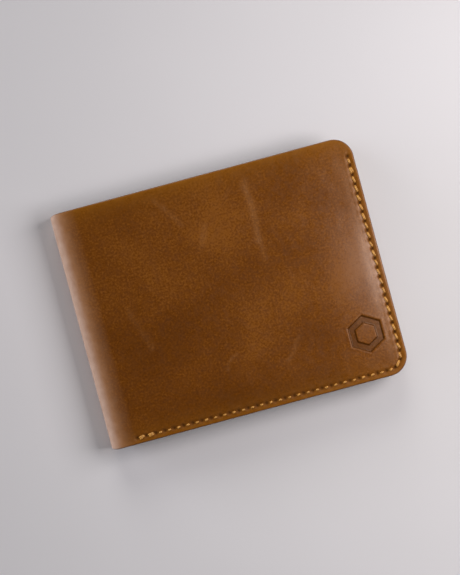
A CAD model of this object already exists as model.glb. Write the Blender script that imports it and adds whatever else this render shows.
"""Looks of a three-leaf leather wallet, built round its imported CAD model.

Lengths are in millimetres until a mesh is made. A ply is laid out unrolled: u runs along the leather
from the middle of the spine to the free edge and equals x on the flat part, y is the CAD's y, and depth
is measured inward from the outside of the closed wallet.
"""
import math

import bpy
import numpy as np
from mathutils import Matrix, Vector


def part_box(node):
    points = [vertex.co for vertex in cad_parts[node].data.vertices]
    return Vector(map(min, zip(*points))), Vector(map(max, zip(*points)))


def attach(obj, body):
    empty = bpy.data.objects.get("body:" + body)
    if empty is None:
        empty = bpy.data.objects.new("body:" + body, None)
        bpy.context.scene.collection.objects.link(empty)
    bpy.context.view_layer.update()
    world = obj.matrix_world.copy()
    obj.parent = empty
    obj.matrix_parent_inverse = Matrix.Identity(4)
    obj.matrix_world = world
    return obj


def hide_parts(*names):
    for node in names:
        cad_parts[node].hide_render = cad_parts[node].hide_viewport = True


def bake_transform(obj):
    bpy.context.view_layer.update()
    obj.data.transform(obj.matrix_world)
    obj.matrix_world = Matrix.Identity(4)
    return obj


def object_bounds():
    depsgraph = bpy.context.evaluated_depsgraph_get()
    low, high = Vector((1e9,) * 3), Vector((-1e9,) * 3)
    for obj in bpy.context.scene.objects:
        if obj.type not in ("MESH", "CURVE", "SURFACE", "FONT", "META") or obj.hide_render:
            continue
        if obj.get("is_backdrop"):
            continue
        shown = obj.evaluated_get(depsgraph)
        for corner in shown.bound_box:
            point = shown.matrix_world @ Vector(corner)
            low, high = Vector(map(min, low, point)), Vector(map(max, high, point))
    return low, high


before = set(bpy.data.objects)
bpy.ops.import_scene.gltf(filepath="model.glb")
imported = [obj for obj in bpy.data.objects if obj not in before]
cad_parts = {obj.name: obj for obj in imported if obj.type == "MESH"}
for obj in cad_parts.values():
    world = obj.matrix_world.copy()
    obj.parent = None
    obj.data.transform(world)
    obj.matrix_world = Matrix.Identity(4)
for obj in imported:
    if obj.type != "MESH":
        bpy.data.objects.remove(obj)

cad_lo, cad_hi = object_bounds()
MM = 0.001
rng = np.random.default_rng(11)


# ---- Sizes from the CAD ----

def box_mm(node):
    low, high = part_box(node)
    return np.array(low) / MM, np.array(high) / MM


RIGHT, TOP, THICK = (v / MM for v in cad_hi)
FOLD_R = THICK / 2          # the spine is a half round
FOLD_X = -RIGHT + FOLD_R    # where it leaves the flat of the covers
CORNER = 7.5                # radius of the covers' free corners
THREAD_RUN = 0.8            # width of the CAD's thread runs
PITCH = 3.5                 # of the needle holes
QUARTER = math.pi / 2       # each half runs a quarter turn round the spine
SPINE_END = FOLD_X - FOLD_R * QUARTER   # u at the middle of the spine
SPINE_DRAW = 0.45           # how far the spine's ends are drawn in at the middle of the bend
DRAW_REACH = 7              # and over what length at each end
DRAW_TURN = (0.7, 1.5)      # and between which angles of the bend, in radians


def depths(node):
    """Outer and inner depth of a ply of the back half. The front half mirrors it."""
    low, high = box_mm(node)
    return low[2], high[2]


def leaf_depths(node):
    """Depths of a leaf ply's upper and lower face, measured from the front."""
    low, high = box_mm(node)
    return THICK - high[2], THICK - low[2]


# ---- Small maths ----

CLOSEST_LINES = 0.02        # grid lines nearer than this are one line
EDGE_STEPS = np.array([0, 0.04, 0.14, 0.3, 0.5, 0.75])   # grid lines in from a rounded edge


def smooth(a, b, x):
    t = np.clip((x - a) / (b - a), 0, 1)
    return t * t * (3 - 2 * t)


def bell(x, width):
    return np.exp(-(x / width) ** 2)


def spread(a, b, step):
    return np.linspace(a, b, max(1, math.ceil(abs(b - a) / step)) + 1)


def lines(*runs):
    """Sorted grid line positions, without near doubles."""
    every = np.sort(np.concatenate(runs))
    keep = [every[0]]
    for v in every[1:]:
        if v - keep[-1] > CLOSEST_LINES:
            keep.append(v)
    keep[-1] = every[-1]
    return np.array(keep)


def arc(cx, cy, radius, start, end, count=12):
    angles = np.radians(np.linspace(start, end, count + 1))
    return [(cx + radius * math.cos(a), cy + radius * math.sin(a)) for a in angles]


# ---- Seams ----

class Seam:
    """A line of needle holes along straight and curved stretches."""

    def __init__(self, points):
        self.p = np.array(points, float)
        step = np.diff(self.p, axis=0)
        self.length = np.hypot(*step.T)
        self.along = step / self.length[:, None]
        self.start = np.concatenate([[0], np.cumsum(self.length)])
        total = self.start[-1]
        self.count = round(total / PITCH)
        self.pitch = total / self.count
        self.holes = np.array([self.at(s) for s in np.linspace(0, total, self.count + 1)])

    def at(self, s):
        i = min(int(np.searchsorted(self.start, s, side="right")) - 1, len(self.length) - 1)
        return self.p[i] + self.along[i] * (s - self.start[i])

    def near(self, x, y):
        """Distance from each point to the seam, and how far along it the nearest place is."""
        best, where = np.full(x.shape, np.inf), np.zeros(x.shape)
        for p, t, length, s in zip(self.p, self.along, self.length, self.start):
            a = np.clip((x - p[0]) * t[0] + (y - p[1]) * t[1], 0, length)
            d = np.hypot(x - p[0] - a * t[0], y - p[1] - a * t[1])
            nearer = d < best
            best = np.where(nearer, d, best)
            where = np.where(nearer, s + a, where)
        return best, where

    def dimples(self, x, y, reach, lean, inward=0):
        """1 at each needle hole, fading over an oval that leans across the seam."""
        out = np.zeros(x.shape)
        for k, hole in enumerate(self.holes):
            t = self.holes[min(k + 1, self.count)] - self.holes[max(k - 1, 0)]
            t /= np.hypot(*t)
            hx, hy = hole + inward * np.array([t[1], -t[0]])
            angle = math.atan2(t[1], t[0]) + lean
            a = (x - hx) * math.cos(angle) + (y - hy) * math.sin(angle)
            b = -(x - hx) * math.sin(angle) + (y - hy) * math.cos(angle)
            out = np.maximum(out, np.exp(-(a / reach[0]) ** 2 - (b / reach[1]) ** 2))
        return out


half = THREAD_RUN / 2
low, high = box_mm("front_edge_thread")
SEAM_X, SEAM_TOP = high[0] - half, high[1] - half
SEAM_Y, SEAM_END = low[1] + half, low[0] + half
SEAM_R = CORNER - (RIGHT - SEAM_X)
edge_seam = Seam(
    [(SEAM_X, SEAM_TOP)]
    + arc(SEAM_X - SEAM_R, SEAM_Y + SEAM_R, SEAM_R, 0, -90)
    + [(SEAM_END, SEAM_Y)]
)


def straight_seam(node):
    low, high = box_mm(node)
    x = (low[0] + high[0]) / 2
    return Seam([(x, high[1] - half), (x, low[1] + half)])


pocket_seam = straight_seam("front_pocket_thread")
hinge_seam = straight_seam("back_hinge_thread")

LEAF_CORNER = 6
low, high = box_mm("leaf_thread")
leaf_left, leaf_right = low[0] + half, high[0] - half
leaf_low, leaf_top = low[1] + half, high[1] - half
leaf_r = LEAF_CORNER - (box_mm("leaf_core")[1][0] - leaf_right)
leaf_seam = Seam(
    [(leaf_left, leaf_top), (leaf_left, leaf_low)]
    + arc(leaf_right - leaf_r, leaf_low + leaf_r, leaf_r, -90, 0)
    + [(leaf_right, leaf_top)]
)


# ---- Meshes ----

INNER_SHIFT = 200           # a ply's inner face takes its grain from this far away in the texture
FULL_GRID = 1.2             # within this of its edge a ply's inner face has every grid line
THINNED = 5                 # and elsewhere each fifth one
AT_CUT = 0.05               # a grid line this near the end at the middle of the spine keeps it crisp
LEAST_THICKNESS = 0.05      # a ply is nowhere thinner
CORNER_PULL = 1.7           # grid lines are pulled in over this many corner radii
CUT_RIM = (0.05, 0.4)       # how far in a cut edge's look fades


def make_object(name, vertices, faces, uv, attributes, material, sharp=50):
    mesh = bpy.data.meshes.new(name)
    mesh.from_pydata((np.asarray(vertices) * MM).tolist(), [], faces)
    layer = mesh.uv_layers.new(name="UVMap")
    loops = np.empty(len(mesh.loops), int)
    mesh.loops.foreach_get("vertex_index", loops)
    layer.data.foreach_set("uv", (np.asarray(uv)[loops] * MM).ravel())
    for key, values in attributes.items():
        data = mesh.attributes.new(key, "FLOAT", "POINT").data
        data.foreach_set("value", np.asarray(values, np.float32))
    mesh.polygons.foreach_set("use_smooth", np.ones(len(mesh.polygons), bool))
    mesh.set_sharp_from_angle(angle=math.radians(sharp))
    mesh.materials.append(material)
    mesh.validate()
    made = bpy.data.objects.new(name, mesh)
    bpy.context.scene.collection.objects.link(made)
    return made


def place(side, u, y, depth):
    """Rolls unrolled ply points up into the closed wallet."""
    sign = 1 if side == "front" else -1
    turn = np.clip((FOLD_X - u) / FOLD_R, 0, QUARTER)
    drawn = SPINE_DRAW * smooth(*DRAW_TURN, turn) * smooth(TOP - DRAW_REACH, TOP, np.abs(y))
    y = y - np.sign(y) * drawn
    x = np.where(u < FOLD_X, FOLD_X - (FOLD_R - depth) * np.sin(turn), u)
    z = FOLD_R + sign * (FOLD_R - depth) * np.cos(turn)
    return np.stack([x, y, z], axis=-1)


class Outline:
    """A ply's outline: its free corners are round, and its spine side may run into the fold."""

    def __init__(self, left, right, bottom, top, lower=0, upper=0, folds=False):
        self.left, self.right, self.bottom, self.top = left, right, bottom, top
        self.lower, self.upper, self.folds = lower, upper, folds

    def row_end(self, y):
        """How far to the right a row reaches at y."""
        below = np.clip(self.bottom + self.lower - y, 0, self.lower)
        above = np.clip(y - self.top + self.upper, 0, self.upper)
        end = self.right - self.lower + np.sqrt(np.maximum(self.lower**2 - below**2, 0))
        end_up = self.right - self.upper + np.sqrt(np.maximum(self.upper**2 - above**2, 0))
        return np.minimum(end, end_up)

    def inside(self, x, y):
        """Distance in from the edge that was cut, round corners included."""
        d = np.minimum(self.right - x, np.minimum(y - self.bottom, self.top - y))
        for radius, cy, way in ((self.lower, self.bottom, -1), (self.upper, self.top, 1)):
            if not radius:
                continue
            cx, cy = self.right - radius, cy - way * radius
            corner = (x > cx) & ((y - cy) * way > 0)
            d = np.where(corner, radius - np.hypot(x - cx, y - cy), d)
        if not self.folds:
            d = np.minimum(d, x - self.left)
        return np.maximum(d, 0)

    def grid(self, us, ys):
        """Grid lines pulled in so that each row ends on the outline."""
        u, y = np.meshgrid(us, ys)
        reach = CORNER_PULL * max(self.lower, self.upper)
        if reach:
            start = self.right - reach
            end = self.row_end(y)
            u = np.where(u > start, start + (u - start) * (end - start) / reach, u)
        return u, y


def soften(d, radius):
    """How far a rounded edge falls away at a distance d in from it."""
    inward = np.clip(radius - d, 0, radius)
    return radius - np.sqrt(np.maximum(radius**2 - inward**2, 0))


def thinned(positions):
    """Which grid lines a ply's inner face keeps."""
    near = (positions - positions[0] < FULL_GRID) | (positions[-1] - positions < FULL_GRID)
    return np.flatnonzero(near | (np.arange(len(positions)) % THINNED == 0))


def quads(rows, columns, first):
    """The faces of a grid of points that are numbered row by row."""
    a = (np.arange(rows - 1)[:, None] * columns + np.arange(columns - 1)).ravel() + first
    return np.stack([a, a + 1, a + 1 + columns, a + columns], 1)


def edge_faces(m, n, inner_id):
    """Faces from the full outer grid's border to the thinned inner grid's."""
    ring = [(0, j) for j in range(n)] + [(i, n - 1) for i in range(1, m)]
    ring += [(m - 1, j) for j in range(n - 2, -1, -1)] + [(i, 0) for i in range(m - 2, -1, -1)]
    faces = []
    run = [ring[0]]
    for cell in ring[1:]:
        run.append(cell)
        if cell in inner_id:
            outer_run = [i * n + j for i, j in run]
            faces.append([inner_id[run[0]], inner_id[run[-1]]] + outer_run[::-1])
            run = [cell]
    return faces


def build_ply(
    name, side, outline, us, ys, outer, inner, material, extra=None, round_by=(0.5, 0.3), placing=place
):
    """A closed ply. outer and inner give the depth of each face at points of the outline."""
    u, y = outline.grid(us, ys)
    d = outline.inside(u, y)
    d_out = outer(u, y, d) + soften(d, round_by[0])
    js, rows = thinned(us), thinned(ys)
    u2, y2, d2 = (a[np.ix_(rows, js)] for a in (u, y, d))
    d_in = inner(u2, y2, d2) - soften(d2, round_by[1])
    d_in = np.maximum(d_in, d_out[np.ix_(rows, js)] + LEAST_THICKNESS)

    both = [placing(side, u, y, d_out), placing(side, u2, y2, d_in)]
    verts = np.concatenate([points.reshape(-1, 3) for points in both])
    base = u.size
    inner_quads = quads(*u2.shape, base)[:, [0, 3, 2, 1]]   # they face the other way
    faces = np.concatenate([quads(*u.shape, 0), inner_quads]).tolist()
    inner_id = {(i, j): base + p * len(js) + q for p, i in enumerate(rows) for q, j in enumerate(js)}
    faces += edge_faces(*u.shape, inner_id)
    if side == "back":
        faces = [f[::-1] for f in faces]

    outer_uv = np.stack([u, y], -1).reshape(-1, 2)
    inner_uv = np.stack([u2 + INNER_SHIFT, y2], -1).reshape(-1, 2)
    uv = np.concatenate([outer_uv, inner_uv])
    rim = np.concatenate([d.ravel(), d2.ravel()])
    attributes = {"rim": rim, "cut": 1 - smooth(*CUT_RIM, rim)}
    for key, value in (extra or {}).items():
        attributes[key] = np.concatenate([value(u, y).ravel(), value(u2, y2).ravel() * 0])
    return make_object(name, verts, faces, uv, attributes, material)


# ---- Materials ----

class Shader:
    """A material's node tree, filled by short calls."""

    def __init__(self, name):
        self.material = bpy.data.materials.new(name)
        self.material.use_nodes = True
        self.tree = self.material.node_tree
        self.tree.nodes.clear()

    def feed(self, socket, value):
        if isinstance(value, bpy.types.NodeSocket):
            self.tree.links.new(value, socket)
        else:
            socket.default_value = value

    def node(self, kind, props=None, **inputs):
        """A new node. An input's name has _ for a space."""
        made = self.tree.nodes.new("ShaderNode" + kind)
        for key, value in (props or {}).items():
            setattr(made, key, value)
        for key, value in inputs.items():
            self.feed(made.inputs[key.replace("_", " ")], value)
        return made

    def maths(self, operation, *values, clamp=False):
        made = self.node("Math", {"operation": operation, "use_clamp": clamp})
        for socket, value in zip(made.inputs, values):
            self.feed(socket, value)
        return made.outputs[0]

    def weigh(self, *parts, start=0.0):
        """start plus the sum of each part's value times its weight."""
        total = start
        for value, weight in parts:
            total = self.maths("MULTIPLY_ADD", value, weight, total)
        return total

    def attribute(self, name):
        return self.node("Attribute", {"attribute_name": name}).outputs["Fac"]

    def millimetres(self, stretch=(1, 1, 1)):
        uv = self.node("UVMap", {"uv_map": "UVMap"}).outputs[0]
        made = self.node("VectorMath", {"operation": "MULTIPLY"})
        self.feed(made.inputs[0], uv)
        self.feed(made.inputs[1], tuple(share / MM for share in stretch))
        return made.outputs[0]

    def noise(self, vector, scale, detail=3, rough=0.5, distortion=0):
        made = self.node(
            "TexNoise", Vector=vector, Scale=scale, Detail=detail, Roughness=rough, Distortion=distortion
        )
        return made.outputs[0]

    def stripes(self, vector, direction, scale):
        props = {"wave_type": "BANDS", "bands_direction": direction}
        return self.node("TexWave", props, Vector=vector, Scale=scale).outputs[1]

    def ramp(self, value, *stops, interpolation="EASE"):
        made = self.node("ValToRGB", Fac=value)
        made.color_ramp.interpolation = interpolation
        elements = made.color_ramp.elements
        while len(elements) < len(stops):
            elements.new(0.5)
        for element, (position, colour) in zip(elements, stops):
            element.position = position
            element.color = (*colour, 1)
        return made.outputs[0]

    def mix(self, factor, a, b):
        """Colour a, turned into colour b by the factor."""
        made = self.node("Mix", {"data_type": "RGBA"})
        self.feed(made.inputs[0], factor)
        for index, value in ((6, a), (7, b)):
            self.feed(made.inputs[index], (*value, 1) if isinstance(value, tuple) else value)
        return made.outputs[2]

    def bump(self, height, distance, normal=None):
        inputs = {"Height": height, "Distance": distance, "Strength": 1.0}
        if normal is not None:
            inputs["Normal"] = normal
        return self.node("Bump", **inputs).outputs[0]

    def finish(self, **inputs):
        surface = self.node("BsdfPrincipled", **inputs)
        output = self.node("OutputMaterial")
        self.tree.links.new(surface.outputs[0], output.inputs[0])
        return self.material


def grey(v):
    return (v, v, v)


# The hide over the spine, where the oils have left it: tan at its shoulders, paler round the middle.
WORN_TAN = (0.31, 0.162, 0.080)
WORN_PALE = (0.415, 0.280, 0.200)
WORN_STOPS = (0.5, 0.9)        # the share of the bend where each of the two is reached
# How worn the hide looks (second) at each share of the bend (first).
WEAR = [(0, 0), (0.27, 0.27), (0.43, 0.58), (0.6, 0.95), (0.9, 1)]
PULLED = (0.50, 0.26, 0.105)   # the paler tone of a pull-up mark
TONE_STOPS = (0.45, 0.675, 0.84)   # where the mottling is darkest, middling and lightest
MARK_SHOWS = 0.24              # how strongly the pale hairlines show
PIT_SHADE = 0.25               # a pit's floor has this share of the hide's middle tone
PIT_SHOWS = 0.92
SOFT_LUMPS = 0.0002            # height in metres of the hide's slow unevenness
WORN_ROUGHER = 0.24            # what the bend and the torn fibres add to the roughness
RAW_ROUGHER = 0.6
HAND_WAX = 0.75                # how much coat a fully polished place has


def hide_colour(s, dark, middle, light, edge, cut, edge_reach, patches):
    """Soft clouds and fine mottling, paler where the hide was bent, scuffed or cut."""
    mm = s.millimetres()
    clouds = s.noise(mm, 0.035, 4, 0.6, 0.4)
    speckle = s.noise(mm, 1.3, 3, 0.65)
    value = s.weigh((clouds, 0.56), (speckle, 1.0), (patches, -0.2), (s.attribute("tone"), 0.14))
    colour = s.ramp(value, *zip(TONE_STOPS, (dark, middle, light)), interpolation="LINEAR")

    near_edge = s.maths("POWER", math.e, s.maths("MULTIPLY", s.attribute("rim"), -1 / edge_reach))
    uneven = s.weigh((patches, 0.8), start=0.35)
    colour = s.mix(s.maths("MULTIPLY", near_edge, uneven), colour, edge)

    # Pale pull-up marks and hairlines, where the hide has been bent or scuffed.
    streaks = s.noise(s.millimetres((1.2, 0.35, 1)), 0.8, 5, 0.7, 0.9)
    marks = s.ramp(streaks, (0.50, grey(0)), (0.75, grey(1)))
    colour = s.mix(s.maths("MULTIPLY", marks, MARK_SHOWS), colour, light)
    pulled = s.maths("MULTIPLY", s.attribute("scuff"), s.weigh((marks, 0.3), start=0.12))
    colour = s.mix(pulled, colour, PULLED)

    bent = s.attribute("bent")
    worn = s.ramp(bent, *zip(WORN_STOPS, (WORN_TAN, WORN_PALE)))
    wear = s.ramp(bent, *((at, grey(share)) for at, share in WEAR), interpolation="LINEAR")
    folds = s.noise(s.millimetres((1, 0.3, 1)), 0.55, 4, 0.6, 0.6)
    unevenly = s.weigh((patches, 0.6), (folds, 0.4), start=0.38)
    colour = s.mix(s.maths("MULTIPLY", wear, unevenly, clamp=True), colour, worn)

    shade = tuple(PIT_SHADE * c for c in middle)
    colour = s.mix(s.maths("MULTIPLY", s.attribute("pit"), PIT_SHOWS), colour, shade)
    return s.mix(s.attribute("cut"), colour, cut)


def leather(name, dark, middle, light, edge, cut, rough, edge_reach, coat, grain):
    """Oiled hide. grain is the height of its pores in metres, and coat how shiny its wax is."""
    s = Shader(name)
    mm = s.millimetres()
    patches = s.noise(mm, 0.35, 2.5, 0.45, 0.15)
    colour = hide_colour(s, dark, middle, light, edge, cut, edge_reach, patches)

    cells = s.node("TexVoronoi", {"feature": "SMOOTH_F1"}, Vector=mm, Scale=1.5, Smoothness=0.6)
    pores = s.noise(mm, 3.5, 4, 0.7)
    normal = s.bump(s.weigh((cells.outputs[0], 0.3), (pores, 0.5)), grain)
    normal = s.bump(s.noise(mm, 0.16, 2, 0.4), SOFT_LUMPS, normal)

    raw = s.attribute("raw")
    roughness = s.ramp(patches, (0.3, grey(rough - 0.05)), (0.7, grey(rough + 0.07)))
    roughness = s.weigh((s.attribute("bent"), WORN_ROUGHER), start=roughness)
    roughness = s.maths("MULTIPLY_ADD", raw, RAW_ROUGHER, roughness, clamp=True)
    waxed = s.maths("MULTIPLY", s.attribute("polish"), s.maths("SUBTRACT", 1.0, raw))
    return s.finish(
        **{
            "Base Color": colour,
            "Roughness": roughness,
            "Normal": normal,
            "Specular IOR Level": 0.42,
            "Specular Tint": (1.0, 0.72, 0.5, 1.0),
            "Coat Weight": s.weigh((waxed, HAND_WAX), start=coat),
            "Coat Roughness": 0.42,
        }
    )


def twill(name, dark, light):
    """Diagonal ribs, broken up by the warp."""
    s = Shader(name)
    mm = s.millimetres()
    warp = s.weigh((s.stripes(mm, "X", 0.6), 0.5), start=0.5)
    ribs = s.maths("MULTIPLY", s.stripes(mm, "DIAGONAL", 0.42), warp)
    weave = s.weigh((ribs, 0.75), (s.noise(mm, 1.2, 3), 0.35))
    return s.finish(
        **{
            "Base Color": s.ramp(weave, (0.1, dark), (0.8, light)),
            "Roughness": s.ramp(weave, (0.0, grey(0.9)), (1.0, grey(0.75))),
            "Normal": s.bump(weave, 0.00012),
            "Sheen Weight": 0.08,
        }
    )


def waxed_thread(name, dark, light):
    """Twisted thread with a little fuzz."""
    s = Shader(name)
    mm = s.millimetres()
    fuzz = s.noise(mm, 2.5, 3, 0.6)
    value = s.weigh((s.stripes(mm, "DIAGONAL", 0.9), 0.55), (fuzz, 0.45))
    return s.finish(
        **{
            "Base Color": s.ramp(value, (0.2, dark), (0.8, light)),
            "Roughness": s.ramp(fuzz, (0.3, grey(0.38)), (0.7, grey(0.55))),
            "Normal": s.bump(value, 0.00008),
            "Specular IOR Level": 0.5,
        }
    )


def clear_film(name):
    """Clear sheet with a faint haze of wear."""
    s = Shader(name)
    mm = s.millimetres()
    haze = s.noise(mm, 0.12, 4, 0.6)
    return s.finish(
        **{
            "Base Color": s.ramp(haze, (0.3, (0.50, 0.53, 0.54)), (0.7, (0.66, 0.68, 0.68))),
            "Roughness": s.ramp(haze, (0.35, grey(0.10)), (0.7, grey(0.2))),
            "Normal": s.bump(s.noise(mm, 0.05, 2), 0.0004),
            "Alpha": 0.11,
            "IOR": 1.49,
        }
    )


HIDE = leather(
    "cover_leather",
    dark=(0.098, 0.027, 0.0012),
    middle=(0.145, 0.0425, 0.0022),
    light=(0.215, 0.073, 0.008),
    edge=(0.260, 0.095, 0.004),
    cut=(0.120, 0.058, 0.030),
    rough=0.31,
    edge_reach=3.3,
    coat=0.03,
    grain=0.00004,
)
INNER_HIDE = leather(
    "inner_leather",
    dark=(0.100, 0.031, 0.005),
    middle=(0.140, 0.045, 0.006),
    light=(0.190, 0.068, 0.011),
    edge=(0.062, 0.019, 0.004),
    cut=(0.040, 0.014, 0.006),
    rough=0.46,
    edge_reach=0.7,
    coat=0.02,
    grain=0.00006,
)
LINING = twill("lining_twill", (0.020, 0.010, 0.004), (0.075, 0.042, 0.020))
THREAD = waxed_thread("waxed_thread", (0.38, 0.165, 0.026), (0.70, 0.37, 0.085))
FILM = clear_film("window_film")


# ---- Covers ----

COVER_IN = depths("back_cover")[1]
SEAM_PINCH = 1.2        # how far the sewn edge is drawn in
SEWN_EDGE = 1.2         # width of the strip outside the seam that is drawn in fully
SEAM_GROOVE = 0.2       # how deep the seam's line is pressed in
HOLE_LEAN = math.radians(60)
HOLE_IN = 0.12          # the needle holes show on the inner side of the thread
HOLE = (0.45, 0.55)     # half-widths of a needle hole's oval
HOLE_DEPTH = 0.40
DISH = (1.0, 0.95)      # and of the shallow dish round it
DISH_DEPTH = 0.06
RIDGE_OFF = 1.2         # the leather bulges this far inside the seam
RIDGE = 0.08
LUMPS = 0.05            # height of the cover's slow waves
FLAT_WIDTH = math.cos(math.pi / 6)   # a hexagon's half-width over its sides, for a radius of 1
STAMP = {"x": 44.6, "y": -27.5, "outer": 7 * FLAT_WIDTH, "inner": 4.2 * FLAT_WIDTH}
STAMP_DEPTH = 0.5
STAMP_WALL = 0.28       # half the width of its sloping walls
STAMP_FIELD = 8         # the mesh is finer within this of its centre

# Soft tones of the hide, each as x, y, reach along x and y, and how much paler.
TONES = [
    (0, 25, 14, 11, 0.9),
    (20, -4, 11, 8, 0.7),
    (-22, -8, 22, 14, -0.8),
    (-8, -38, 40, 9, -0.9),
    (22, -22, 9, 7, -0.5),
    (-44, 20, 9, 14, -0.4),
    (47, 38, 10, 8, 0.6),
    (48, -4, 12, 15, 0.6),
]

# Pull-up marks, each as a line of points, its width and how strongly it shows.
SCUFFS = [
    ([(15.4, 38), (16.1, 27), (15.3, 16)], 1.3, 1.0),
    ([(15.3, 16), (16, 9)], 1.0, 0.5),
    ([(-18.3, 40), (-14.8, 35.6), (-10.6, 29)], 1.0, 0.5),
    ([(-3, 26), (-5, 20)], 1.3, 0.5),
    ([(20.5, -22), (18.6, -24), (17.2, -27), (14.2, -29.5)], 0.8, 0.5),
    ([(-3.2, -22.3), (-5.5, -23.2), (-7.4, -25), (-7.9, -27)], 0.7, 0.5),
    ([(-33, -12), (-38, 4)], 1.3, 0.3),
]


def tones(u, y):
    """How much paler or darker the hide's soft clouds make it."""
    out = np.zeros(u.shape)
    for x0, y0, reach_x, reach_y, amount in TONES:
        out += amount * np.exp(-((u - x0) / reach_x) ** 2 - ((y - y0) / reach_y) ** 2)
    return out


def scuffs(u, y):
    """How strongly a pull-up mark shows."""
    out = np.zeros(u.shape)
    for points, width, amount in SCUFFS:
        off = Seam(points).near(u, y)[0]
        out = np.maximum(out, amount * bell(off, width))
    return out


def stamp_reach(u, y):
    """Distance from the stamp's centre, measured so that a hexagon has one distance all round."""
    x, y = np.abs(u - STAMP["x"]), np.abs(y - STAMP["y"])
    return np.maximum(x, x * 0.5 + y * FLAT_WIDTH)


def stamp_depth(u, y):
    """A pressed ring between two hexagons, with a low lip round it."""
    reach = stamp_reach(u, y)
    inside = smooth(STAMP["inner"] - STAMP_WALL, STAMP["inner"] + STAMP_WALL, reach)
    inside *= 1 - smooth(STAMP["outer"] - STAMP_WALL, STAMP["outer"] + STAMP_WALL, reach)
    lip = bell(reach - STAMP["outer"] - 0.75, 0.5)
    return STAMP_DEPTH * inside - 0.05 * lip


def pinch(u, y):
    """How far the sewing draws the cover in: the cover domes down to its right and bottom edges."""
    from_right, from_bottom = np.maximum(RIGHT - u - SEWN_EDGE, 0), np.maximum(TOP + y - SEWN_EDGE, 0)
    puffed = 0.26 + 0.32 * bell(y + 4, 17)
    right = puffed * bell(from_right, 3.8) + 0.56 * bell(from_right, 12)
    right *= 1 - smooth(33, 44, y)
    bottom = 0.35 * np.exp(-from_bottom / 2.4) + 0.25 * bell(from_bottom, 7)
    bottom *= smooth(-56, -44, u)
    return SEAM_PINCH * np.minimum(np.hypot(right, bottom), 1.05)


def cover_outer(marked):
    """The depth of a cover's outer face, as a function."""
    def depth(u, y, d):
        off, s = edge_seam.near(u, y)
        out = pinch(u, y)
        out += SEAM_GROOVE * bell(off, 0.75)
        inner_side = smooth(RIGHT - SEAM_X - 0.2, RIGHT - SEAM_X + 0.2, d)
        at_holes = 0.6 + 0.4 * np.cos(2 * math.pi * s / edge_seam.pitch)
        out -= RIDGE * at_holes * inner_side * bell(off - RIDGE_OFF, 0.6)
        out += HOLE_DEPTH * edge_seam.dimples(u, y, HOLE, HOLE_LEAN, HOLE_IN)
        out += DISH_DEPTH * edge_seam.dimples(u, y, DISH, HOLE_LEAN, HOLE_IN)
        out += 0.12 * np.exp(-(TOP - y))
        waves = np.sin(u / 9.1 + y / 13.7 + 0.6) + np.sin(u / 15.3 - y / 7.9)
        out += LUMPS * waves * smooth(-50, -40, u)
        if marked:
            out += stamp_depth(u, y)
        return np.maximum(out, -LUMPS)
    return depth


def bent(u, y):
    """How far round the fold the hide is: 1 over the middle of the spine, fading out onto the flat."""
    fade, reach = 3, 1.15 * FOLD_R
    return np.clip((FOLD_X + fade - u) / (fade + reach), 0, 1)


def polished(u, y):
    """Where hands have polished the hide: by the middle of the free edge, and a little over the spine."""
    by_edge = np.exp(-((u - 52) / 12) ** 2 - ((y + 4) / 18) ** 2)
    return np.maximum(by_edge, 0.12 * bent(u, y))


def pits(u, y):
    """The dark of the needle holes, a little weaker along the bottom."""
    holes = np.minimum(1.4 * edge_seam.dimples(u, y, (0.46, 0.56), HOLE_LEAN, HOLE_IN), 1)
    return holes * (1 - 0.3 * (u < SEAM_X - SEAM_R))


def raw_leather(u, y):
    """The torn fibres in and round the needle holes, which don't shine."""
    return np.minimum(1.8 * edge_seam.dimples(u, y, (0.8, 0.9), HOLE_LEAN, HOLE_IN), 1)


def stamped_pits(u, y):
    """The dark of the needle holes and of the stamp's walls and floor."""
    reach, wall = stamp_reach(u, y), 0.3
    walls = bell(reach - STAMP["outer"] + 0.1, wall) + bell(reach - STAMP["inner"] - 0.1, wall)
    floor = smooth(STAMP["inner"], STAMP["inner"] + wall, reach)
    floor *= 1 - smooth(STAMP["outer"] - wall, STAMP["outer"], reach)
    return np.maximum(pits(u, y), 0.58 * walls + 0.36 * floor)


def build_cover(side):
    marked = side == "front"
    outline = Outline(SPINE_END, RIGHT, -TOP, TOP, CORNER, CORNER, folds=True)
    runs_u = [
        spread(SPINE_END, FOLD_X, 0.5),
        [SPINE_END + AT_CUT],
        spread(FOLD_X, RIGHT, 0.4),
        RIGHT - EDGE_STEPS,
    ]
    runs_y = [spread(-TOP, TOP, 0.4), -TOP + EDGE_STEPS, TOP - EDGE_STEPS]
    if marked:
        for runs, centre in ((runs_u, STAMP["x"]), (runs_y, STAMP["y"])):
            runs.append(spread(centre - STAMP_FIELD, centre + STAMP_FIELD, 0.2))
    extra = {"bent": bent, "pit": pits, "polish": polished, "raw": raw_leather}
    if marked:
        extra.update(pit=stamped_pits, tone=tones, scuff=scuffs)
    return build_ply(
        f"{side}_cover_leather",
        side,
        outline,
        lines(*runs_u),
        lines(*runs_y),
        cover_outer(marked),
        lambda u, y, d: COVER_IN + air_inside("cover") * squeeze(u, y, "cover"),
        HIDE,
        extra=extra,
        round_by=(0.55, 0.25),
    )


# ---- Thread ----

STITCH_LEAN = math.radians(15)
LEAN_VARIES = 6         # in degrees, either way
AROUND, ALONG = 10, 14  # faces round a strand and along it
FLAT_STRAND = 0.82      # a strand is this share as high as it is wide
EDGE_STRAND = 0.41      # radius of the edge seam's strands
FINE_STRAND = 0.3       # and of the inner seams'
DEEPEST = -0.65         # a strand's ends stop this far under the leather


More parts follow.
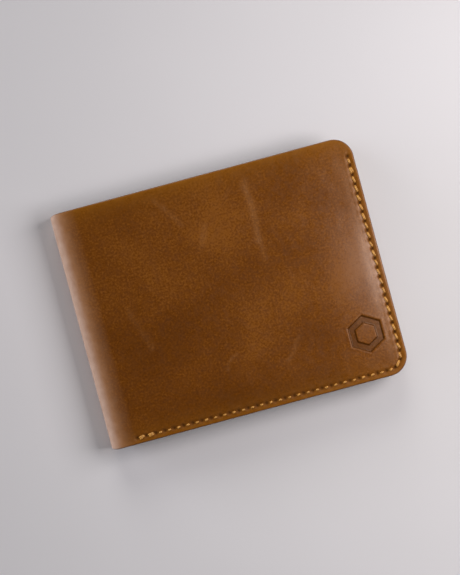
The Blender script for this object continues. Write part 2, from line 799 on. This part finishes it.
def strand(seam, k, lean, shift, size, radius, dot, tight):
    """One strand of a stitch: its middle, direction, steps along it, their heights and its radius."""
    a, b = seam.holes[k], seam.holes[k + 1]
    t = (b - a) / np.hypot(*(b - a))
    c, s = math.cos(lean), math.sin(lean)
    d = np.array([t[0] * c - t[1] * s, t[0] * s + t[1] * c])
    n = np.array([-d[1], d[0]])
    reach = seam.pitch / 2 * (0.45 if dot else rng.uniform(0.57, 0.67))
    r = radius * size * rng.uniform(0.9, 1.1)
    if tight:
        reach, r = reach * 0.84, r * 0.88
    centre = (a + b) / 2 + n * (shift + rng.uniform(-0.07, 0.07))
    # Height above the leather: a low arch whose ends dive into the needle holes.
    steps = np.linspace(-1, 1, ALONG + 1)
    lift = r * 0.62 - (2.0 * np.abs(steps) ** 2 if tight else 0.9 * np.abs(steps) ** 4)
    return centre, d, n, steps * reach, np.maximum(lift, DEEPEST), r


def tube_faces(first):
    """The faces of a strand whose points start at that number, ends included."""
    faces = []
    for i in range(ALONG):
        for j in range(AROUND):
            p, q = first + i * AROUND + j, first + i * AROUND + (j + 1) % AROUND
            faces.append([p, q, q + AROUND, p + AROUND])
    faces.append([first + j for j in range(AROUND)][::-1])
    faces.append([first + ALONG * AROUND + j for j in range(AROUND)])
    return faces


def build_thread(name, side, runs, radius=FINE_STRAND, dots=(), tight=()):
    """Slanted stitches. A run is (seam, depth of the leather under a stitch, doubled stitches, outward).

    outward is 1 where the stitches lie on a ply's outer face, and -1 on its inner face. dots are the
    stitches that show only as a short knob, and tight the ones that were pulled deep into their holes.
    """
    verts, faces, uv = [], [], []
    turns = np.linspace(0, 2 * math.pi, AROUND, endpoint=False)
    for seam, floor, doubled, outward in runs:
        turned = (side == "back") != (outward < 0)
        for k in range(seam.count):
            lean = STITCH_LEAN + math.radians(rng.uniform(-LEAN_VARIES, LEAN_VARIES))
            strands = [(lean, 0, 1)]
            if k in doubled:
                strands = [(lean * 0.6, -0.24, 0.9), (lean * 1.5, 0.24, 0.9)]
            for placed in strands:
                centre, d, n, steps, lift, r = strand(seam, k, *placed, radius, k in dots, k in tight)
                under = floor(*centre)
                made = tube_faces(len(verts))
                faces += [f[::-1] for f in made] if turned else made
                for q, h, slope in zip(steps, lift, np.gradient(lift, steps)):
                    up = np.array([-slope, 1]) / math.hypot(slope, 1)
                    for turn in turns:
                        lobe = r * (1 + 0.07 * math.cos(3 * (turn - q * 2.6)))   # three twisted cords
                        across, rise = lobe * math.cos(turn), FLAT_STRAND * lobe * math.sin(turn)
                        p = centre + d * (q + up[0] * rise) + n * across
                        verts.append((p[0], p[1], under - outward * (h + up[1] * rise)))
                        uv.append((q + 40 * k, turn * r))
    verts = np.array(verts)
    points = place(side, verts[:, 0], verts[:, 1], verts[:, 2])
    return make_object(name, points, faces, uv, {}, THREAD, sharp=80)


# ---- Inner plies ----

CREASE_IN = 1.5         # the heat crease runs this far below a pocket's top edge
TOP_STEPS = np.concatenate([EDGE_STEPS, [1.05, 1.25, 1.5, 1.75, 1.95, 2.4, 3.2]])
LINING_INSET = 0.6      # the lining's corners are this much tighter than the cover's
SUNK = 0.06             # a stitch lies this far into the leather

# The plies of a half, from the outside in.
STACK = ["cover", "lining", "bill_panel", "pocket_backing", "card_slot_1", "card_slot_2", "card_slot_3"]
POCKETS = STACK[3:]


def squeeze(u, y, name):
    """How tightly the sewing holds a ply: 1 on its seams, fading out between them."""
    right = bell(np.maximum(RIGHT - u - 2.5, 0), 6) * (1 - smooth(36, 44, y))
    bottom = bell(np.maximum(TOP + y - 2.5, 0), 5) * smooth(-54, -46, u)
    tight = np.maximum(right, bottom)
    if name in POCKETS:
        spine_side = bell(u - pocket_seam.p[0][0], 1.6) * (1 - smooth(31, 33, y))
        tight = np.maximum(tight, spine_side)
    return tight


def air_inside(name):
    """The air between that ply and the innermost one, which the sewing closes up."""
    rest = STACK[STACK.index(name):]
    return sum(depths(f"back_{b}")[0] - depths(f"back_{a}")[1] for a, b in zip(rest, rest[1:]))


def crease(y, top):
    return 0.07 * bell(top - y - CREASE_IN, 0.22)


def inner_ply(side, name, folds, material, creased=True, corner_up=0, inset=0.3):
    """A ply inside the cover, with the dents of the seams and of the heat crease along its top."""
    low, high = box_mm(f"back_{name}")
    outer_d, inner_d = depths(f"back_{name}")
    air = air_inside(name)
    left = SPINE_END if folds else low[0]
    outline = Outline(left, high[0], low[1], high[1], CORNER - inset, corner_up, folds=folds)
    us = lines(
        spread(left, FOLD_X, 0.6 if folds else 1.5),
        [left + AT_CUT] if folds else left + EDGE_STEPS,
        spread(FOLD_X, high[0], 1.6),
        spread(SEAM_X - 1, SEAM_X + 1, 0.4),
        high[0] - EDGE_STEPS,
    )
    ys = lines(
        spread(low[1], high[1], 1.6),
        spread(SEAM_Y - 1, SEAM_Y + 1, 0.4),
        low[1] + EDGE_STEPS,
        high[1] - TOP_STEPS,
    )
    top = high[1]

    def outer(u, y, d):
        return outer_d + air * squeeze(u, y, name)

    def inner(u, y, d):
        on_seam = 0.10 * bell(edge_seam.near(u, y)[0], 0.55)
        if not folds:
            on_seam = np.maximum(on_seam, 0.10 * bell(pocket_seam.near(u, y)[0], 0.5))
        mark = crease(y, top) if creased else 0
        return inner_d + air * squeeze(u, y, name) - on_seam - mark

    def creased_line(u, y):
        return (0.5 if creased else 0) * bell(top - y - CREASE_IN, 0.3)

    # The face that shows is the inner one, so it gets the full grid and the outer one the thinned grid.
    return build_ply(
        f"{side}_{name}_" + ("twill" if material is LINING else "leather"),
        "back" if side == "front" else "front",
        outline,
        us,
        ys,
        lambda u, y, d: -inner(u, y, d),
        lambda u, y, d: -outer(u, y, d),
        material,
        extra={"pit": creased_line},
        round_by=(0.2, 0.12),
        placing=lambda _, u, y, depth: place(side, u, y, -depth),
    )


slot_tops = [box_mm(f"back_card_slot_{i}")[1][1] for i in (1, 2, 3)]
slot_left = box_mm("back_card_slot_1")[0][0]
backing_top = box_mm("back_pocket_backing")[1][1]
panel_top = box_mm("back_bill_panel")[1][1]


def inner_floor(x, y):
    """Depth of the innermost face at a point, where a stitch lies on it."""
    name = "lining"
    if y < panel_top:
        name = "bill_panel"
    if y < backing_top and x > box_mm("back_pocket_backing")[0][0]:
        name = "pocket_backing"
    for i, top in enumerate(slot_tops):
        if y < top and x > slot_left:
            name = f"card_slot_{i + 1}"
    tight = float(squeeze(np.array([x]), np.array([y]), name)[0])
    return depths(f"back_{name}")[1] + air_inside(name) * tight - SUNK


def seam_floor(x, y):
    """Depth of the cover under a stitch."""
    return float(pinch(np.array([x]), np.array([y]))[0] + SEAM_GROOVE)


def dress(made, nodes, body=None):
    """Says which CAD nodes an object stands for and the body that carries it."""
    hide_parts(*nodes)
    if body:
        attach(made, body)


def bend_at_spine(made):
    """Follows the half's body on the flat and the spine's body at the middle of the spine."""
    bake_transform(made)


last = edge_seam.count
past_corner = round((SEAM_TOP - SEAM_Y) / PITCH)
for side in ("front", "back"):
    spine = side == "back"   # the back's objects also stand for the spine's pieces
    cover = build_cover(side)
    bend_at_spine(cover)
    dress(cover, [f"{side}_cover"] + ["spine_cover"] * spine)
    rounding = {"corner_up": CORNER - LINING_INSET, "inset": LINING_INSET}
    lining = inner_ply(side, "lining", True, LINING, creased=False, **rounding)
    bend_at_spine(lining)
    dress(lining, [f"{side}_lining"] + ["spine_lining"] * spine)
    panel = inner_ply(side, "bill_panel", True, INNER_HIDE, corner_up=4)
    bend_at_spine(panel)
    dress(panel, [f"{side}_bill_panel"] + ["spine_bill_panel"] * spine)
    for name in POCKETS:
        dress(inner_ply(side, name, False, INNER_HIDE), [f"{side}_{name}"], side)
    edge_runs = [
        (edge_seam, seam_floor, {1, last - 1, last - 2}, 1),
        (edge_seam, inner_floor, {last - 1, last - 2}, -1),
    ]
    pulled_deep = range(past_corner, last - 2)
    stitches = build_thread(f"{side}_edge_stitches", side, edge_runs, EDGE_STRAND, {0}, pulled_deep)
    dress(stitches, [f"{side}_edge_thread"], side)
    pocket_runs = [(pocket_seam, inner_floor, {0, pocket_seam.count - 1}, -1)]
    stitches = build_thread(f"{side}_pocket_stitches", side, pocket_runs)
    dress(stitches, [f"{side}_pocket_thread"], side)


# ---- Hinge strip ----

wing_low, wing_high = box_mm("back_hinge_strip")
leaf_wing_low, leaf_wing_high = box_mm("leaf_hinge_strip")
STRIP = wing_high[2] - wing_low[2]              # its thickness
BEND = (leaf_wing_high[2] - wing_low[2]) / 2    # outer radius of its bend
BEND_MIDDLE = BEND - STRIP / 2
BEND_X, BEND_Z = wing_low[0], wing_low[2] + BEND
WING = wing_high[0] - BEND_X                    # length of the wing on the back half
BENT = math.pi * BEND_MIDDLE                    # and of the leather in the bend


def place_strip(side, u, y, depth):
    """Bends the flat strip from the back half round to the leaf."""
    turn = np.clip((u - WING) / BEND_MIDDLE, 0, math.pi)
    past = np.maximum(u - WING - BENT, 0)
    x = BEND_X + np.maximum(WING - u, 0) - (BEND - depth) * np.sin(turn) + past
    z = BEND_Z - (BEND - depth) * np.cos(turn)
    return np.stack([x, y, z], axis=-1)


strip_end = WING + BENT + leaf_wing_high[0] - BEND_X
strip = build_ply(
    "leaf_hinge_strip_leather",
    "strip",
    Outline(0, strip_end, wing_low[1], wing_high[1]),
    lines(
        EDGE_STEPS,
        spread(0, WING, 1),
        spread(WING, WING + BENT, 0.25),
        spread(WING + BENT, strip_end, 1),
        strip_end - EDGE_STEPS,
    ),
    lines(wing_low[1] + EDGE_STEPS, spread(wing_low[1], wing_high[1], 1.5), wing_high[1] - EDGE_STEPS),
    lambda u, y, d: 0 * u,
    lambda u, y, d: 0 * u + STRIP,
    INNER_HIDE,
    round_by=(0.15, 0.15),
    placing=place_strip,
)
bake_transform(strip)
dress(strip, ["back_hinge_strip", "leaf_hinge_strip"])
hinge_runs = [(hinge_seam, lambda x, y: wing_high[2] - 0.05, {0, hinge_seam.count - 1}, -1)]
stitches = build_thread("back_hinge_stitches", "back", hinge_runs)
dress(stitches, ["back_hinge_thread"], "back")


# ---- Centre leaf ----

WINDOW = (-37, 41, -30, 22)     # left, right, bottom and top of the hole in the frame
WINDOW_CORNER = 3
NOTCH = 8                       # radius of the thumb notch in the frame's top edge
EASED = 0.4                     # radius of the frame's spine-side corners, which are barely eased
FRAME_SEAM_IN = 2.2             # its seam runs this far in from its outer edge
WINDOW_LINE_IN = 1.4            # and a heat crease this far out from the window
FRAME_RIM = (0.03, 0.25)        # how far in its cut edge's look fades


def leaf_ply(node, name, material, corner_up=0, facing_up=True, wave=0):
    """A ply of the leaf. Film is wavy, and leather has the dents of the seam and of its crease."""
    low, high = box_mm(node)
    top_d, low_d = leaf_depths(node)
    outline = Outline(low[0], high[0], low[1], high[1], LEAF_CORNER, corner_up)
    us = lines(low[0] + EDGE_STEPS, spread(low[0], high[0], 2), high[0] - EDGE_STEPS)
    ys = lines(low[1] + EDGE_STEPS, spread(low[1], high[1], 2), high[1] - TOP_STEPS)
    top = high[1]

    def groove(u, y):
        if wave:
            return 0
        return 0.08 * bell(leaf_seam.near(u, y)[0], 0.6) + crease(y, top)

    def ripple(u, y):
        return wave * (np.sin(u / 11 + 1) * np.sin(y / 8.5) - 0.3)

    if facing_up:
        return build_ply(
            name, "front", outline, us, ys,
            lambda u, y, d: top_d + groove(u, y) + ripple(u, y),
            lambda u, y, d: low_d + 0 * u + ripple(u, y),
            material, round_by=(0.1, 0.08),
        )
    return build_ply(
        name, "back", outline, us, ys,
        lambda u, y, d: -low_d + groove(u, y),
        lambda u, y, d: -top_d + 0 * u,
        material, round_by=(0.15, 0.08),
        placing=lambda _, u, y, depth: place("front", u, y, -depth),
    )


def frame_loops():
    """Matching points round the window frame's outer edge and round its window."""
    (x0, y0, _), (x1, y1, _) = box_mm("leaf_window_frame")
    left, right, bottom, top = WINDOW
    middle = (left + right) / 2
    near, w, c = EASED, WINDOW_CORNER, LEAF_CORNER
    outer, inner = [], []

    def side_run(start, end, hole_start, hole_end, count):
        outer.extend(np.linspace(start, end, count, endpoint=False).tolist())
        inner.extend(np.linspace(hole_start, hole_end, count, endpoint=False).tolist())

    def corner_run(centre, radius, hole_centre, start):
        outer.extend(arc(*centre, radius, start, start + 90, 8)[:-1])
        inner.extend(arc(*hole_centre, w, start, start + 90, 8)[:-1])

    side_run((x0, y1 - near), (x0, y0 + near), (left, top - w), (left, bottom + w), 30)
    corner_run((x0 + near, y0 + near), near, (left + w, bottom + w), 180)
    side_run((x0 + near, y0), (x1 - c, y0), (left + w, bottom), (right - w, bottom), 40)
    corner_run((x1 - c, y0 + c), c, (right - w, bottom + w), 270)
    side_run((x1, y0 + c), (x1, y1 - c), (right, bottom + w), (right, top - w), 30)
    corner_run((x1 - c, y1 - c), c, (right - w, top - w), 0)
    side_run((x1 - c, y1), (middle + NOTCH, y1), (right - w, top), (middle + NOTCH, top), 16)
    for x, y in arc(middle, y1, NOTCH, 0, -180, 20)[:-1]:
        outer.append((x, y))
        inner.append((x, top))
    side_run((middle - NOTCH, y1), (x0 + near, y1), (middle - NOTCH, top), (left + w, top), 16)
    corner_run((x0 + near, y1 - near), near, (left + w, top - w), 90)
    return np.array(outer), np.array(inner)


def build_frame():
    """The window frame: a strip of leather from its outer edge to its window, all the way round."""
    outer, inner = frame_loops()
    top_d, low_d = leaf_depths("leaf_window_frame")
    span = np.hypot(*(inner - outer).T)
    from_outer = [0, 0.03, 0.1, 0.2, 0.7, 1.5, 1.85, 2.2, 2.55, 2.9]
    from_inner = [2.0, 1.7, 1.4, 1.1, 0.7, 0.2, 0.1, 0.03, 0]
    verts, uv, rim = [], [], []
    for face in (0, 1):
        for (ox, oy), (ix, iy), length in zip(outer, inner, span):
            for a in from_outer + [length / 2 + 0.5] + [length - v for v in from_inner]:
                x, y = ox + (ix - ox) * a / length, oy + (iy - oy) * a / length
                edge = min(a, length - a)
                round_off = float(soften(np.array(edge), 0.15))
                line = 0.08 * bell(a - FRAME_SEAM_IN, 0.5)
                line += 0.06 * bell(length - a - WINDOW_LINE_IN, 0.22)
                verts.append((x, y, top_d + round_off + line if face == 0 else low_d - round_off * 0.5))
                uv.append((x + INNER_SHIFT * face, y))
                rim.append(edge)
    n, m = len(outer), len(from_outer) + 1 + len(from_inner)
    base = n * m
    faces = []
    for i in range(n):
        i2 = (i + 1) % n
        for j in range(m - 1):
            a, b, c, d = i * m + j, i2 * m + j, i2 * m + j + 1, i * m + j + 1
            faces.append([a, b, c, d])
            faces.append([base + d, base + c, base + b, base + a])
        faces.append([base + i * m, base + i2 * m, i2 * m, i * m])
        faces.append([i * m + m - 1, i2 * m + m - 1, base + i2 * m + m - 1, base + i * m + m - 1])
    verts = np.array(verts)
    points = place("front", verts[:, 0], verts[:, 1], verts[:, 2])
    rim = np.array(rim)
    attributes = {"rim": rim, "cut": 1 - smooth(*FRAME_RIM, rim)}
    return make_object("leaf_window_frame_leather", points, faces, uv, attributes, INNER_HIDE)


leaf_slots = {name: box_mm(f"leaf_{name}")[1][1] for name in ("card_slot_1", "card_slot_2")}


def leaf_low_floor(x, y):
    """Depth of the leaf's stepped face at a point."""
    node = "leaf_core"
    for name, top in leaf_slots.items():
        if y < top:
            node = f"leaf_{name}"
    return leaf_depths(node)[1] - SUNK


def leaf_top_floor(x, y):
    return leaf_depths("leaf_window_frame")[0] + SUNK


dress(build_frame(), ["leaf_window_frame"], "leaf")
film = leaf_ply("leaf_window_film", "leaf_window_film_sheet", FILM, LEAF_CORNER, wave=0.03)
dress(film, ["leaf_window_film"], "leaf")
core = leaf_ply("leaf_core", "leaf_core_leather", INNER_HIDE, LEAF_CORNER)
dress(core, ["leaf_core"], "leaf")
for name in leaf_slots:
    made = leaf_ply(f"leaf_{name}", f"leaf_{name}_leather", INNER_HIDE, facing_up=False)
    dress(made, [f"leaf_{name}"], "leaf")
ends = {0, leaf_seam.count - 1}
leaf_runs = [(leaf_seam, leaf_top_floor, ends, 1), (leaf_seam, leaf_low_floor, ends, -1)]
stitches = build_thread("leaf_stitches", "front", leaf_runs)
dress(stitches, ["leaf_thread"], "leaf")


# ---- Stage, lights and camera ----

ROLL = math.radians(-15.1)   # the wallet lies turned on the table
VIEW_HEIGHT = 212            # millimetres of table from the frame's top edge to its bottom edge
CAMERA_Z = 900               # millimetres above the table
SENSOR = 36
DROP = 2.1                   # the wallet's centre lies this far below the middle of the frame


def in_frame(right, up, height):
    """A point given along the frame's own right and up directions, from the wallet's centre."""
    c, s = math.cos(ROLL), math.sin(ROLL)
    return Vector((right * c - up * s, right * s + up * c, height)) * MM


camera = bpy.data.objects.new("camera", bpy.data.cameras.new("camera"))
bpy.context.scene.collection.objects.link(camera)
camera.location = in_frame(0, DROP, CAMERA_Z)
camera.rotation_euler = (0, 0, ROLL)
camera.data.sensor_width = SENSOR
camera.data.lens = SENSOR * (CAMERA_Z - THICK) / VIEW_HEIGHT
bpy.context.scene.camera = camera


def add_light(name, kind, at, power, colour, **settings):
    """A light that faces the wallet and that the camera doesn't see."""
    data = bpy.data.lights.new(name, kind)
    data.energy, data.color = power, colour
    for key, value in settings.items():
        setattr(data, key, value)
    made = bpy.data.objects.new(name, data)
    made.location = at
    made.rotation_mode = "QUATERNION"
    made.rotation_quaternion = (Vector((0, 0, FOLD_R * MM)) - made.location).to_track_quat("-Z", "Y")
    made.visible_camera = False
    bpy.context.scene.collection.objects.link(made)
    return made


def softbox(name, at, width, height, power, colour):
    return add_light(name, "AREA", at, power, colour, shape="RECTANGLE", size=width, size_y=height)


softbox("key_softbox", in_frame(250, 65, 300), 0.25, 0.25, 1.35, (1.0, 0.93, 0.94))
low_light = softbox("spine_softbox", in_frame(-2100, 180, 270), 2.4, 0.48, 61, (0.90, 0.89, 1.0))
low_light.visible_glossy = False   # it lies so low that the covers would mirror it from the other side
add_light("fill", "SUN", in_frame(-150, 850, 500), 0.8, (1.0, 0.97, 0.93), angle=math.radians(30))

world = bpy.data.worlds.new("studio")
world.use_nodes = True
background = world.node_tree.nodes["Background"]
background.inputs["Color"].default_value = (0.9, 0.93, 1.0, 1)
background.inputs["Strength"].default_value = 0.07
bpy.context.scene.world = world
bpy.context.scene.view_settings.view_transform = "Standard"

paper = Shader("floor_paper")
paper_tone = paper.noise(paper.millimetres(), 0.01, 2)
paper_colour = paper.ramp(paper_tone, (0.3, grey(0.70)), (0.7, grey(0.72)))
floor_material = paper.finish(**{"Base Color": paper_colour, "Roughness": 0.85})
FLOOR = 3000                 # half its width
FLOOR_Z = -0.02              # just under the wallet, so that the two don't share a plane
floor_uv = [(-FLOOR, -FLOOR), (FLOOR, -FLOOR), (FLOOR, FLOOR), (-FLOOR, FLOOR)]
floor_points = [(x, y, FLOOR_Z) for x, y in floor_uv]
floor = make_object("floor", floor_points, [[0, 1, 2, 3]], floor_uv, {}, floor_material)
floor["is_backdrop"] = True

low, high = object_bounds()
